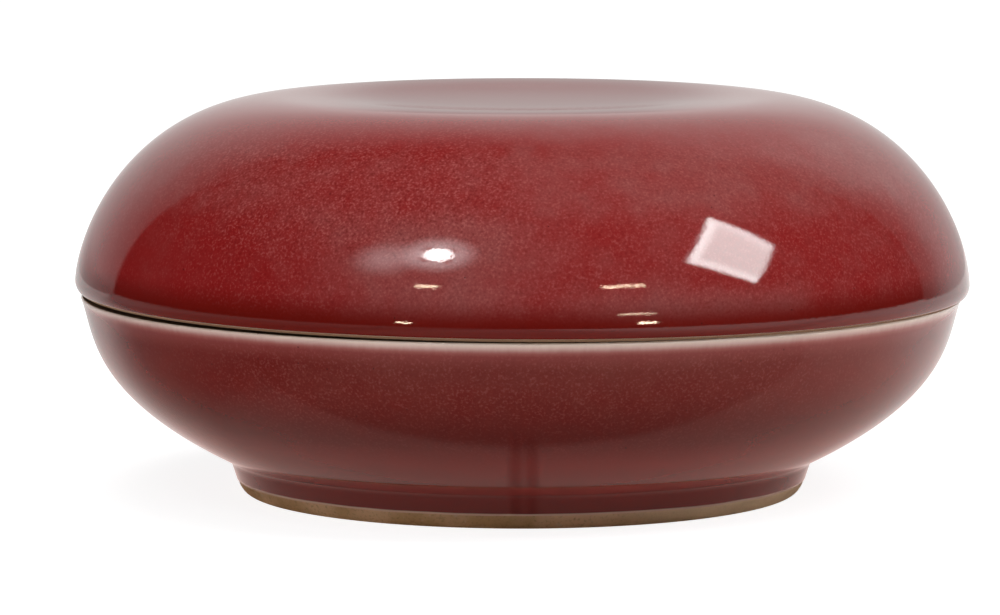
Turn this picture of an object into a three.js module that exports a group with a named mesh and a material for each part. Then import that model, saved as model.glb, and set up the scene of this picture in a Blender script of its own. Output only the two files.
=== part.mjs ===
// A round covered box of copper-red glazed porcelain: a bowl-shaped box on a turned foot ring,
// and a domed cover with a sunken crown, which drops over the box's upright lip and rests on its rim.
// Both pieces are thrown and turned on a wheel, so each is one profile revolved about the upright axis.
//
// Millimetres, +Z up. The origin is on the table, under the middle of the foot ring.

import * as THREE from "three";

const DEGREE = Math.PI / 180;
const QUARTER = 90 * DEGREE;

// Cover, outside
const COVER_RADIUS = 120; // the widest ring, just above the mouth
const COVER_RISE = 52.6; // mouth to crest
const BEAD_RADIUS = 4.3; // round of the lower edge, over the widest ring and in to the mouth
const BEAD_LEAN = 4 * DEGREE; // lean of the dome from upright, where it goes over into that round
const BEAD_TURN = 49 * DEGREE; // how far that round turns in under the widest ring
const CREST_RADIUS = 63; // ring of the highest points, round the sunken crown
const DISH_RADIUS = 27; // level floor of the sunken crown
const DISH_DEPTH = 1.8; // crest down to that floor
const DISH_FLOOR_PULL = 11; // pull of the sunken crown's curve, out from its floor
const DISH_CREST_PULL = 19; // pull of the same curve, in from the crest
const DOME_SHOULDER = 0.68; // pull of the dome's curve at the crest, as a share of the way out to the side
const DOME_SIDE = 0.35; // pull of the dome's curve at the side, as a share of the way up to the crest

// Cover, inside
const MOUTH_WALL = 7; // wall at the widest ring
const CROWN_WALL = 5; // wall of the crest and the sunken crown

// Seat between the cover and the box
const SEAT_HEIGHT = 53.5; // table to the rim of the box
const SEAT_GAP = 0.3; // open line between the rim and the cover's mouth
const COVER_OVERHANG = 1.9; // how far the cover's widest ring stands out past the rim
const LIP_CLEARANCE = 1.2; // play of the box's lip inside the cover's mouth
const LIP_HEIGHT = 7; // lip above the rim
const LIP_THICKNESS = 3.2;
const LIP_ROUND = 1.2; // both top edges of the lip
const LIP_COVE = 0.8; // hollow corner between the lip and the rim

// Box, outside
const RIM_ROUND = 1.2; // outer edge of the rim
const RIM_LEAN = 19.5 * DEGREE; // lean of the belly from upright, just under the rim
const RIM_PULL = 0.24; // pull of the belly's curve at the rim, as a share of the belly's height
const BELLY_OUT = 0.94; // pull of the belly's curve at its lower edge, as a share of the way out to the rim
const BELLY_UP = 0.42; // the same pull, as a share of the way up to the rim

// Foot ring
const FOOT_RADIUS = 73; // outer edge of the face that stands on the table
const FOOT_FACE = 4; // width of that face
const FOOT_EDGE_WIDTH = 2.4; // rounded outer edge of the foot, left without glaze
const FOOT_EDGE_HEIGHT = 4;
const FOOT_HEIGHT = 9; // table to the hollow corner over the foot's outer wall
const FOOT_FLARE = 3; // how much further out that wall is at the corner than at the table
const FOOT_INNER_BEVEL = 1.2; // inner edge of the standing face
const FOOT_COVE = 1.4; // hollow corner between the foot's outer wall and the ledge
const LEDGE_WIDTH = 6.2; // ledge under the belly: how far out it reaches from the foot
const LEDGE_RISE = 3.2; // how far the ledge rises on the way out to the belly
const RECESS_DEPTH = 9; // table up to the underside of the floor
const RECESS_COVE = 2; // hollow corner between the foot's inner side and the floor

// Box, inside
const BELLY_WALL = 7.5; // wall at the belly's lower edge
const FLOOR_THICKNESS = 6.5;
const FLOOR_LEVEL = 0.6; // level middle of the floor, as a share of its radius
const FLOOR_TURN = 7; // how far the wall's slope runs on into the floor

// Glaze
const BOX_RED = 0x6e2620;
const COVER_RED = 0x6b1712;
const GLAZE_ROUGHNESS = 0.12;

// Steps round the axis, and along the curves of a profile
const FACETS = 60;
const LONG_CURVE = 9;
const SHORT_CURVE = 5;
const ROUND_EDGE = 3;

// Worked out from the sizes above
const MOUTH_RADIUS = COVER_RADIUS - MOUTH_WALL;
const RIM_RADIUS = COVER_RADIUS - COVER_OVERHANG;
const LIP_OUTER = MOUTH_RADIUS - LIP_CLEARANCE;
const LIP_INNER = LIP_OUTER - LIP_THICKNESS;
const FOOT_WALL_RADIUS = FOOT_RADIUS + FOOT_EDGE_WIDTH;
const FOOT_TOP_RADIUS = FOOT_WALL_RADIUS + FOOT_FLARE;
const FOOT_INNER_RADIUS = FOOT_RADIUS - FOOT_FACE - FOOT_INNER_BEVEL;

// A point of a profile.
function at(radius, height) {
  return new THREE.Vector2(radius, height);
}

// The point on the straight line from one point towards another, at a distance from the first.
function towards(from, to, distance) {
  return to.clone().sub(from).setLength(distance).add(from);
}

// Points along a round edge about a centre, between two angles from the outward direction.
function roundEdge(centre, radius, from, to) {
  const edge = new THREE.EllipseCurve(centre.x, centre.y, radius, radius, from, to, to < from);
  return edge.getPoints(ROUND_EDGE);
}

// Points round a softened corner, between a point before it and one after it.
function softCorner(before, corner, after) {
  return new THREE.QuadraticBezierCurve(before, corner, after).getPoints(ROUND_EDGE);
}

// The other face of a wall: points beside a curve, on its right, at a thickness that changes evenly.
function otherFace(curve, firstWall, lastWall, steps) {
  const points = [];
  for (let step = 0; step <= steps; step += 1) {
    const share = step / steps;
    const along = curve.getTangent(share);
    const wall = THREE.MathUtils.lerp(firstWall, lastWall, share);
    const across = at(along.y, -along.x).multiplyScalar(wall);
    points.push(curve.getPoint(share).add(across));
  }
  return points;
}

// The cover's profile: from the middle of the crown over the dome to the mouth, and back up the inside.
// Heights count from the mouth.
function coverProfile() {
  const dishHeight = COVER_RISE - DISH_DEPTH;
  const dish = new THREE.CubicBezierCurve(
    at(DISH_RADIUS, dishHeight),
    at(DISH_RADIUS + DISH_FLOOR_PULL, dishHeight),
    at(CREST_RADIUS - DISH_CREST_PULL, COVER_RISE),
    at(CREST_RADIUS, COVER_RISE),
  );
  const beadCentre = at(COVER_RADIUS - BEAD_RADIUS, BEAD_RADIUS * Math.sin(BEAD_TURN));
  const bead = roundEdge(beadCentre, BEAD_RADIUS, BEAD_LEAN, -BEAD_TURN);
  const side = bead[0];
  const sidePull = DOME_SIDE * (COVER_RISE - side.y);
  const dome = new THREE.CubicBezierCurve(
    at(CREST_RADIUS, COVER_RISE),
    at(THREE.MathUtils.lerp(CREST_RADIUS, COVER_RADIUS, DOME_SHOULDER), COVER_RISE),
    at(side.x - sidePull * Math.sin(BEAD_LEAN), side.y + sidePull * Math.cos(BEAD_LEAN)),
    side,
  );
  const domeInside = otherFace(dome, CROWN_WALL, MOUTH_WALL, LONG_CURVE);
  const dishInside = otherFace(dish, CROWN_WALL, CROWN_WALL, SHORT_CURVE);
  return [
    at(0, dishHeight),
    ...dish.getPoints(SHORT_CURVE),
    ...dome.getPoints(LONG_CURVE).slice(1, -1),
    ...bead,
    at(MOUTH_RADIUS, 0),
    ...domeInside.reverse(),
    ...dishInside.reverse().slice(1),
    at(0, dishHeight - CROWN_WALL),
  ];
}

// The outline of the lip and the rim: up the lip's inner face, over it, and out to the edge of the rim.
function lipAndRim() {
  const lipTop = SEAT_HEIGHT + LIP_HEIGHT - LIP_ROUND;
  return [
    ...roundEdge(at(LIP_INNER + LIP_ROUND, lipTop), LIP_ROUND, 2 * QUARTER, QUARTER),
    ...roundEdge(at(LIP_OUTER - LIP_ROUND, lipTop), LIP_ROUND, QUARTER, 0),
    ...roundEdge(at(LIP_OUTER + LIP_COVE, SEAT_HEIGHT + LIP_COVE), LIP_COVE, 2 * QUARTER, 3 * QUARTER),
    ...roundEdge(at(RIM_RADIUS - RIM_ROUND, SEAT_HEIGHT - RIM_ROUND), RIM_ROUND, QUARTER, -RIM_LEAN),
  ];
}

// The outline of the foot ring: in along the ledge from the belly's lower edge, down the foot, across its
// standing face, and up its inner side to the middle of the recess.
function footRing(lowerEdge) {
  const ledgeCorner = at(FOOT_TOP_RADIUS, FOOT_HEIGHT);
  const tableCorner = at(FOOT_WALL_RADIUS, 0);
  const innerCove = at(FOOT_INNER_RADIUS - RECESS_COVE, RECESS_DEPTH - RECESS_COVE);
  const ledgeEnd = towards(ledgeCorner, lowerEdge, FOOT_COVE);
  const wallTop = towards(ledgeCorner, tableCorner, FOOT_COVE);
  const wallEnd = towards(tableCorner, ledgeCorner, FOOT_EDGE_HEIGHT);
  return [
    ...softCorner(ledgeEnd, ledgeCorner, wallTop),
    ...softCorner(wallEnd, tableCorner, at(FOOT_RADIUS, 0)),
    at(FOOT_RADIUS - FOOT_FACE, 0),
    at(FOOT_INNER_RADIUS, FOOT_INNER_BEVEL),
    ...roundEdge(innerCove, RECESS_COVE, 0, QUARTER),
    at(0, RECESS_DEPTH),
  ];
}

// The box's profile: from the middle of the floor up the inside of the belly, over lip and rim, down the
// outside of the belly and round the foot ring. Heights count from the table.
function boxProfile() {
  const seat = lipAndRim();
  const rimEdge = seat.at(-1);
  const lowerEdge = at(FOOT_TOP_RADIUS + LEDGE_WIDTH, FOOT_HEIGHT + LEDGE_RISE);
  const rimPull = RIM_PULL * (rimEdge.y - lowerEdge.y);
  const belly = new THREE.CubicBezierCurve(
    rimEdge,
    at(rimEdge.x - rimPull * Math.sin(RIM_LEAN), rimEdge.y - rimPull * Math.cos(RIM_LEAN)),
    at(
      THREE.MathUtils.lerp(lowerEdge.x, rimEdge.x, BELLY_OUT),
      THREE.MathUtils.lerp(lowerEdge.y, rimEdge.y, BELLY_UP),
    ),
    lowerEdge,
  );
  const rimWall = (rimEdge.x - LIP_INNER) / Math.cos(RIM_LEAN);
  const bellyInside = otherFace(belly, rimWall, BELLY_WALL, LONG_CURVE).reverse();
  const wallFoot = bellyInside[0];
  const floorHeight = RECESS_DEPTH + FLOOR_THICKNESS;
  const floor = new THREE.CubicBezierCurve(
    at(0, floorHeight),
    at(wallFoot.x * FLOOR_LEVEL, floorHeight),
    wallFoot.clone().addScaledVector(belly.getTangent(1), FLOOR_TURN),
    wallFoot,
  );
  return [
    ...floor.getPoints(SHORT_CURVE),
    ...bellyInside.slice(1),
    ...seat,
    ...belly.getPoints(LONG_CURVE).slice(1),
    ...footRing(lowerEdge),
  ];
}

// A profile turned about the upright axis, in its own glaze. The profiles here run with the porcelain on
// their right, and a lathe takes them the other way round.
function turnedPiece(name, profile, colour) {
  const geometry = new THREE.LatheGeometry(profile.reverse(), FACETS).rotateX(QUARTER);
  const glaze = new THREE.MeshStandardMaterial({ color: colour, roughness: GLAZE_ROUGHNESS, metalness: 0 });
  const piece = new THREE.Mesh(geometry, glaze);
  piece.name = name;
  return piece;
}

const box = turnedPiece("box", boxProfile(), BOX_RED);

const cover = turnedPiece("cover", coverProfile(), COVER_RED);
cover.position.z = SEAT_HEIGHT + SEAT_GAP;

const coveredBox = new THREE.Group();
coveredBox.add(box, cover);

export default coveredBox;
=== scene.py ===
# %% [markdown]
# # A covered box in copper-red porcelain
#
# The real object is two pieces of porcelain that were thrown on a wheel, turned, glazed and fired: a low
# round box on a foot ring, and a domed cover with a sunken crown. This lesson models both as turned pieces,
# gives them three finishes (copper-red glaze, clear glaze and bare fired porcelain) and lights them as a
# glossy pot is lit in a studio. All lengths are in metres.

# %% Load the frame
import math

import bpy
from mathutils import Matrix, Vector


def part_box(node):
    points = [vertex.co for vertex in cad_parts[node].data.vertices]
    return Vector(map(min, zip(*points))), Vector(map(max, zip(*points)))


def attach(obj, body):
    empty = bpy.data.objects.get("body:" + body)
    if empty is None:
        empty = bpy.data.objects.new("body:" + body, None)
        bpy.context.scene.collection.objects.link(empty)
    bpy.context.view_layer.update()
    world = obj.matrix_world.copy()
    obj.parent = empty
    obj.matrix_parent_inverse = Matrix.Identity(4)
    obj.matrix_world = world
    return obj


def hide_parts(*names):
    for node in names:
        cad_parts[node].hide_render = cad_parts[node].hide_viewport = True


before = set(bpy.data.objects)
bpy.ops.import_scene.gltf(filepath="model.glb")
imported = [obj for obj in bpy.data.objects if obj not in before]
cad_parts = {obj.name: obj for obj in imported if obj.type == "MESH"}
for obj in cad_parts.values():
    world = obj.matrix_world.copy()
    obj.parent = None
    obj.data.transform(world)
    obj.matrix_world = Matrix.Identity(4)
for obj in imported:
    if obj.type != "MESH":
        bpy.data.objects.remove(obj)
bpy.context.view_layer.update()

scene = bpy.context.scene
scene.view_settings.view_transform = "Standard"

# %% [markdown]
# ## The sizes that the frame gives
#
# The construction model already holds where each piece is. Its boxes give the sizes that the two pieces
# share: the cover's width and height, where its mouth sits, the rim's width and the lip's height. The rest
# is worked out from these and from shape values written in millimetres.

# %% Sizes from the frame
MM = 0.001

cover_low, cover_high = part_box("cover")
box_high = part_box("box")[1]
COVER_RADIUS = cover_high.x
CREST_HEIGHT = cover_high.z
MOUTH_HEIGHT = cover_low.z
RIM_RADIUS = box_high.x
LIP_TOP = box_high.z
print(f"cover {2000 * COVER_RADIUS:.1f} mm wide, crest at {1000 * CREST_HEIGHT:.1f} mm")
print(f"rim {2000 * RIM_RADIUS:.1f} mm wide, mouth at {1000 * MOUTH_HEIGHT:.1f} mm")

# %% [markdown]
# ## Drawing an outline
#
# A turned piece is one outline carried round an axis, so its whole shape is in that outline. A potter's
# template is made of long sweeps, small rounds and walls of a chosen thickness. The helpers below draw
# those: a sweep is a Bezier curve with two pulls, a round is part of a circle, and a wall is a second line
# beside the first. A point is (distance from the axis, 0, height).

# %% Sweeps, rounds and walls
def at(radius, height):
    return Vector((radius, 0.0, height))


def sweep(start, first_pull, second_pull, end, steps):
    """Points of a Bezier curve."""
    points = []
    for step in range(steps + 1):
        t = step / steps
        s = 1.0 - t
        near = start * s**3 + first_pull * 3.0 * s * s * t
        points.append(near + second_pull * 3.0 * s * t * t + end * t**3)
    return points


def rounding(centre, radius, first, last, steps):
    """Points of a circle's arc, between two angles in degrees, counted up from the outward direction."""
    points = []
    for step in range(steps + 1):
        angle = math.radians(first + (last - first) * step / steps)
        points.append(centre + at(radius * math.cos(angle), radius * math.sin(angle)))
    return points


def beside(points, first_wall, last_wall):
    """The other face of a wall: a line on the right of the first, at a thickness that changes evenly."""
    line = []
    for index, point in enumerate(points):
        before = points[max(index - 1, 0)]
        after = points[min(index + 1, len(points) - 1)]
        along = (after - before).normalized()
        wall = first_wall + (last_wall - first_wall) * index / (len(points) - 1)
        line.append(point + at(along.z, -along.x) * wall)
    return line

# %% [markdown]
# ## Three finishes along the outline
#
# The finish changes along the outline: copper-red glaze outside, clear glaze inside and in the hollow of
# the foot, and bare fired porcelain where the two pieces meet and where the box stands, because a glazed
# face would stick in the kiln. An outline is therefore a list of stretches, each with its finish, stored as
# a chain of edges that carry the finish. Two lengths sit on the points: how far a place on the red glaze is
# from its upper edge, and how far from its lower one. The materials need both, because the glaze runs down
# in the fire: it is thin and pale at the top and thick and dark at the bottom.

# %% An outline as a chain of edges
RED, CLEAR, BARE = range(3)
WANDER_REACH = 3.0 * MM  # how far from the edge of the glaze its wandering is felt
SAME_POINT = 1e-7  # a point closer than this to the last one is left out


def outline_mesh(name, stretches):
    points = [stretches[0][1][0]]
    finishes = []
    run = [0.0]
    edges_of_glaze = []
    red_run = (0.0, 0.0)
    for finish, stretch in stretches:
        began = run[-1]
        for point in stretch:
            length = (point - points[-1]).length
            if length < SAME_POINT:
                continue
            points.append(point)
            finishes.append(finish)
            run.append(run[-1] + length)
        if finish == RED:
            red_run = (began, run[-1])
            ends = zip(red_run, (stretch[0], stretch[-1]))
            edges_of_glaze += [s for s, point in ends if point.x > 0.0]
    mesh = bpy.data.meshes.new(name)
    mesh.from_pydata(points, [(i, i + 1) for i in range(len(points) - 1)], [])
    mesh.attributes.new("finish", "INT", "EDGE").data.foreach_set("value", finishes)
    top, bottom = red_run
    lengths = {
        "from_top": [min(max(s - top, 0.0), bottom - top) for s in run],
        "to_edge": [min(max(bottom - s, 0.0), bottom - top) for s in run],
        "wander": [max(1.0 - min(abs(s - e) for e in edges_of_glaze) / WANDER_REACH, 0.0) for s in run],
    }
    for attribute, values in lengths.items():
        mesh.attributes.new(attribute, "FLOAT", "POINT").data.foreach_set("value", values)
    along = []
    for index in range(len(points)):
        way = points[min(index + 1, len(points) - 1)] - points[max(index - 1, 0)]
        along.extend(way.normalized())
    mesh.attributes.new("along", "FLOAT_VECTOR", "POINT").data.foreach_set("vector", along)
    red = f"red for {1000 * (bottom - top):.0f} mm"
    print(f"{name}: {len(points)} points, {1000 * run[-1]:.0f} mm long, {red}")
    return mesh

# %% [markdown]
# ## The cover's outline
#
# The crown of the cover is sunk like a shallow dish inside a broad crest. From the crest one long sweep
# falls to the widest ring, and a bead turns in under it to the mouth. The glaze stops on that bead, a hair
# thick, so the bare body under it stands back by the thickness of the glaze. The inside follows the outside
# at the thickness of the wall.

# %% Cover: crown, dome and bead
GLAZE = 0.2 * MM  # thickness of the glaze, seen as a step where it ends
BEAD_RADIUS = 4.3 * MM
BEAD_LEAN = 4.0  # degrees from upright, where the dome goes over into the bead
BEAD_GLAZED = 34.0  # degrees that the glaze follows the bead in under the widest ring
BEAD_TURN = 49.0  # degrees that the bead turns in, down to the mouth
BEAD_STEP = 1.5  # degrees over which the edge of the glaze steps down
CREST_RADIUS = 63.0 * MM
DISH_DEPTH = 1.8 * MM
DISH_FLOOR_PULL = 42.0 * MM
DISH_CREST_PULL = 20.0 * MM
DOME_SHOULDER = 0.68
DOME_SIDE = 0.35

dish_height = CREST_HEIGHT - DISH_DEPTH
crown = sweep(
    at(0.0, dish_height),
    at(DISH_FLOOR_PULL, dish_height),
    at(CREST_RADIUS - DISH_CREST_PULL, CREST_HEIGHT),
    at(CREST_RADIUS, CREST_HEIGHT),
    steps=32,
)
bead_centre = at(COVER_RADIUS - BEAD_RADIUS, MOUTH_HEIGHT + BEAD_RADIUS * math.sin(math.radians(BEAD_TURN)))
bead = rounding(bead_centre, BEAD_RADIUS, BEAD_LEAN, -BEAD_GLAZED, 8)
side = bead[0]
side_pull = DOME_SIDE * (CREST_HEIGHT - side.z)
bead_lean = math.radians(BEAD_LEAN)
dome = sweep(
    at(CREST_RADIUS, CREST_HEIGHT),
    at(CREST_RADIUS + DOME_SHOULDER * (COVER_RADIUS - CREST_RADIUS), CREST_HEIGHT),
    side + at(-side_pull * math.sin(bead_lean), side_pull * math.cos(bead_lean)),
    side,
    steps=44,
)
print(f"crest {2000 * CREST_RADIUS:.0f} mm wide, dish {1000 * DISH_DEPTH:.1f} mm deep")

# %% Cover: mouth, inside and the whole outline
CROWN_WALL = 5.0 * MM
MOUTH_WALL = 7.0 * MM
MOUTH_ROUND = 1.0 * MM
MOUTH_BARE = 4.0 * MM  # wiped free of glaze inside, up from the mouth

mouth_inner = COVER_RADIUS - MOUTH_WALL
mouth_height = MOUTH_HEIGHT + GLAZE
mouth = rounding(bead_centre, BEAD_RADIUS - GLAZE, -BEAD_GLAZED - BEAD_STEP, -BEAD_TURN, 4)
mouth += rounding(at(mouth_inner + MOUTH_ROUND, mouth_height + MOUTH_ROUND), MOUTH_ROUND, 270.0, 180.0, 4)
mouth.append(at(mouth_inner, mouth_height + MOUTH_BARE))
dome_inside = beside(dome, CROWN_WALL, MOUTH_WALL)[::-1]
dome_inside = [point for point in dome_inside if point.z > mouth_height + MOUTH_BARE]
crown_inside = beside(crown, CROWN_WALL, CROWN_WALL)[::-1]
crown_inside[-1].x = 0.0  # the inside closes on the axis
cover_outline = [
    (RED, crown + dome + bead),
    (BARE, mouth),
    (CLEAR, dome_inside + crown_inside),
]
cover_chain = outline_mesh("cover_outline", cover_outline)

# %% [markdown]
# ## The outline of the box
#
# The box is drawn from the middle of its floor up the inside, over the lip that keeps the cover in place,
# out over the rim, down the belly and in to the foot. The belly ends in a soft ridge, and a narrow ledge
# slopes in from there to the foot ring. The foot's wall leans in, its lower edge is rounded off and left
# bare, and so is the ring it stands on.

# %% Box: rim, belly and ridge
LIP_HEIGHT = 7.22 * MM
LIP_CLEARANCE = 1.2 * MM
LIP_THICKNESS = 3.2 * MM
LIP_ROUND = 1.2 * MM
LIP_COVE = 0.8 * MM
RIM_ROUND = 0.45 * MM
RIM_LEAN = 19.5  # degrees from upright, just under the rim
RIM_PULL = 0.24
BELLY_OUT = 0.94
BELLY_UP = 0.42
FOOT_RADIUS = 73.0 * MM
FOOT_HEIGHT = 9.0 * MM
FOOT_EDGE_WIDTH = 2.4 * MM
FOOT_FLARE = 3.0 * MM
LEDGE_WIDTH = 6.2 * MM
LEDGE_RISE = 3.2 * MM
RIDGE_ROUND = 1.0 * MM  # how far from the ridge its rounding starts

seat_height = LIP_TOP - LIP_HEIGHT
rim_centre = at(RIM_RADIUS - RIM_ROUND, seat_height - RIM_ROUND)
rim = rounding(rim_centre, RIM_ROUND, 90.0, -RIM_LEAN, 8)
table_corner = at(FOOT_RADIUS + FOOT_EDGE_WIDTH, 0.0)
ledge_corner = table_corner + at(FOOT_FLARE, FOOT_HEIGHT)
ridge = ledge_corner + at(LEDGE_WIDTH, LEDGE_RISE)
lean = math.radians(RIM_LEAN)
pull = RIM_PULL * (rim[-1].z - ridge.z)
belly_pull = at(
    ridge.x + BELLY_OUT * (rim[-1].x - ridge.x),
    ridge.z + BELLY_UP * (rim[-1].z - ridge.z),
)
belly = sweep(
    rim[-1],
    rim[-1] - at(pull * math.sin(lean), pull * math.cos(lean)),
    belly_pull,
    ridge,
    steps=48,
)
belly_way = (ridge - belly_pull).normalized()
print(f"belly {1000 * (rim[-1].z - ridge.z):.0f} mm high, from the ridge to the rim")

# %% Box: ledge and foot ring
FOOT_FACE = 4.0 * MM
FOOT_COVE = 1.4 * MM
FOOT_EDGE_HEIGHT = 4.0 * MM
FOOT_GLAZE_LINE = 3.3 * MM  # how far up the foot's wall the glaze stops
FOOT_INNER_BEVEL = 1.2 * MM
FOOT_BARE_INSIDE = 5.0 * MM  # bare part of the foot's inner side, up from the table
RECESS_DEPTH = 9.0 * MM
RECESS_COVE = 2.0 * MM
RECESS_STEPS = 8


def towards(start, end, distance):
    return start + (end - start).normalized() * distance


def soft_corner(before, corner, after, steps):
    """Points round a softened corner, between a point before it and one after it."""
    return sweep(before, before.lerp(corner, 2 / 3), after.lerp(corner, 2 / 3), after, steps)


belly_skin = [point for point in belly if (point - ridge).length > RIDGE_ROUND]
ridge_skin = soft_corner(belly_skin[-1], ridge, towards(ridge, ledge_corner, RIDGE_ROUND), 6)
cove = soft_corner(
    towards(ledge_corner, ridge, FOOT_COVE), ledge_corner, towards(ledge_corner, table_corner, FOOT_COVE), 6
)
foot_edge = soft_corner(
    towards(table_corner, ledge_corner, FOOT_EDGE_HEIGHT), table_corner, at(FOOT_RADIUS, 0.0), 12
)
glazed_edge = [point for point in foot_edge if point.z > FOOT_GLAZE_LINE]
bare_edge = beside(foot_edge, GLAZE, 0.0)
bare_edge = [point for point in bare_edge if point.z < FOOT_GLAZE_LINE]
standing_inner = FOOT_RADIUS - FOOT_FACE
foot_inner = standing_inner - FOOT_INNER_BEVEL
foot_inside = [
    at(standing_inner, 0.0),
    at(foot_inner, FOOT_INNER_BEVEL),
    at(foot_inner, FOOT_BARE_INSIDE),
]
recess_radius = foot_inner - RECESS_COVE
recess = rounding(at(recess_radius, RECESS_DEPTH - RECESS_COVE), RECESS_COVE, 0.0, 90.0, 6)
recess += [at(recess_radius * step / RECESS_STEPS, RECESS_DEPTH) for step in range(RECESS_STEPS, -1, -1)]
print(f"foot ring {2000 * FOOT_RADIUS:.0f} mm across where it stands, {2000 * ridge.x:.0f} mm at the ridge")

# %% Box: inside, lip and the whole outline
BELLY_WALL = 7.5 * MM
FLOOR_THICKNESS = 6.5 * MM
FLOOR_LEVEL = 0.6
FLOOR_TURN = 7.0 * MM

lip_outer = COVER_RADIUS - MOUTH_WALL - LIP_CLEARANCE
lip_inner = lip_outer - LIP_THICKNESS
rim_wall = (rim[-1].x - lip_inner) / math.cos(lean)
belly_inside = beside(belly, rim_wall, BELLY_WALL)[::-1]
wall_foot = belly_inside[0]
floor_height = RECESS_DEPTH + FLOOR_THICKNESS
floor_inside = sweep(
    at(0.0, floor_height),
    at(FLOOR_LEVEL * wall_foot.x, floor_height),
    wall_foot + belly_way * FLOOR_TURN,
    wall_foot,
    steps=20,
)
lip = rounding(at(lip_inner + LIP_ROUND, LIP_TOP - LIP_ROUND), LIP_ROUND, 180.0, 90.0, 5)
lip += rounding(at(lip_outer - LIP_ROUND, LIP_TOP - LIP_ROUND), LIP_ROUND, 90.0, 0.0, 5)
lip += rounding(at(lip_outer + LIP_COVE, seat_height + LIP_COVE), LIP_COVE, 180.0, 270.0, 4)
box_outline = [
    (CLEAR, floor_inside + belly_inside),
    (BARE, lip + [rim[0]]),
    (RED, rim + belly_skin + ridge_skin + cove + glazed_edge),
    (BARE, bare_edge + foot_inside),
    (CLEAR, recess),
]
box_chain = outline_mesh("box_outline", box_outline)

# %% [markdown]
# ## Writing node trees by hand
#
# Materials and Geometry Nodes are both trees of nodes. The small class below adds one node with one call
# and gives it or its output back, so that a tree can be written line by line, as a recipe is.

# %% A recipe of nodes
class Recipe:
    def __init__(self, tree):
        self.tree = tree

    def node(self, kind, inputs=None, **settings):
        made = self.tree.nodes.new(kind)
        for name, value in settings.items():
            setattr(made, name, value)
        for socket, value in (inputs or {}).items():
            if isinstance(value, bpy.types.NodeSocket):
                self.tree.links.new(value, made.inputs[socket])
            else:
                made.inputs[socket].default_value = value
        return made

    def maths(self, operation, *values):
        inputs = dict(enumerate(values))
        return self.node("ShaderNodeMath", inputs, operation=operation).outputs[0]

    def chain(self, operation, first, *others):
        for other in others:
            first = self.maths(operation, first, other)
        return first

    def times(self, *values):
        return self.chain("MULTIPLY", *values)

    def plus(self, *values):
        return self.chain("ADD", *values)

    def most(self, *values):
        return self.chain("MAXIMUM", *values)

    def apart(self, first, second):
        """How far apart two values are."""
        return self.maths("ABSOLUTE", self.maths("SUBTRACT", first, second))

    def vector(self, operation, *values):
        inputs = dict(enumerate(values))
        return self.node("ShaderNodeVectorMath", inputs, operation=operation).outputs[0]

    def scaled(self, vector, size):
        return self.node("ShaderNodeVectorMath", {0: vector, "Scale": size}, operation="SCALE").outputs[0]

    def length(self, vector):
        return self.node("ShaderNodeVectorMath", {0: vector}, operation="LENGTH").outputs["Value"]

    def parts(self, vector):
        return self.node("ShaderNodeSeparateXYZ", {0: vector}).outputs

    def joined(self, **parts):
        return self.node("ShaderNodeCombineXYZ", parts).outputs[0]

    def place(self, kind="Object"):
        """The place of the point that is being shaded, in metres or on the piece's own map (UV)."""
        return self.node("ShaderNodeTexCoord").outputs[kind]

    def ease(self, value, low, high, first=0.0, last=1.0):
        """A soft step from first to last, while the value goes from low to high."""
        inputs = {"Value": value, "From Min": low, "From Max": high, "To Min": first, "To Max": last}
        made = self.node("ShaderNodeMapRange", inputs, interpolation_type="SMOOTHSTEP")
        return made.outputs["Result"]

    def fade(self, value, low, high, first=1.0):
        """A soft fall to nothing."""
        return self.ease(value, low, high, first, 0.0)

    def noise(self, place, size, detail=2.0, seed=0.0):
        """Soft random values between 0 and 1, with patches of about this size."""
        inputs = {"Vector": place, "W": seed, "Scale": 1.0 / size, "Detail": detail}
        return self.node("ShaderNodeTexNoise", inputs, noise_dimensions="4D").outputs[0]

    def blend(self, share, first, second):
        """One colour going over into another."""
        return self.node("ShaderNodeMix", {0: share, 6: first, 7: second}, data_type="RGBA").outputs[2]

# %% [markdown]
# ## Turning an outline with Geometry Nodes
#
# A Screw modifier or a Spin would also carry the outline round the axis, but neither lets the finish and
# the unevenness of handwork come along. This tree lays a plain grid, reads the outline for each column of
# the grid and bends the rows into a circle. On the way it slides the edge of the glaze up and down a
# little, because liquid glaze never stops on a true line, and makes the wall uneven by a few hundredths of
# a millimetre. A rim that has settled in the kiln is higher on one side, so the tree can tip the piece near
# one height, and a loose cover may sit a little off the axis.

# %% The turning tree
TURNING_INPUTS = {
    "Geometry": ["Outline"],
    "Int": ["Steps"],
    "Float": ["Unevenness", "Glaze wander", "Seed", "Lean height", "Lean reach", "Off axis"],
    "Vector": ["Lean"],
    "Material": ["Red glaze", "Clear glaze", "Bare porcelain"],
}
turning = bpy.data.node_groups.new("turned_piece", "GeometryNodeTree")
for kind, names in TURNING_INPUTS.items():
    for name in names:
        turning.interface.new_socket(name, in_out="INPUT", socket_type=f"NodeSocket{kind}")
turning.interface.new_socket("Piece", in_out="OUTPUT", socket_type="NodeSocketGeometry")

# %% The turning tree: a grid that reads the outline
UNEVEN_SIZE = 70.0 * MM
WANDER_SIZE = 14.0 * MM
SEAM_WITHIN = 1e-6  # points closer than this become one

recipe = Recipe(turning)
given = recipe.node("NodeGroupInput").outputs
points_on_outline = recipe.node("GeometryNodeAttributeDomainSize", {0: given["Outline"]}).outputs[0]
rows = recipe.plus(given["Steps"], 1.0)
grid = recipe.node("GeometryNodeMeshGrid", {"Vertices X": rows, "Vertices Y": points_on_outline})
index = recipe.node("GeometryNodeInputIndex").outputs[0]
place_on_outline = recipe.maths("MODULO", index, points_on_outline)
row = recipe.maths("FLOOR", recipe.maths("DIVIDE", index, points_on_outline))
angle = recipe.times(recipe.maths("DIVIDE", row, given["Steps"]), -math.tau)  # faces outward


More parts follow.
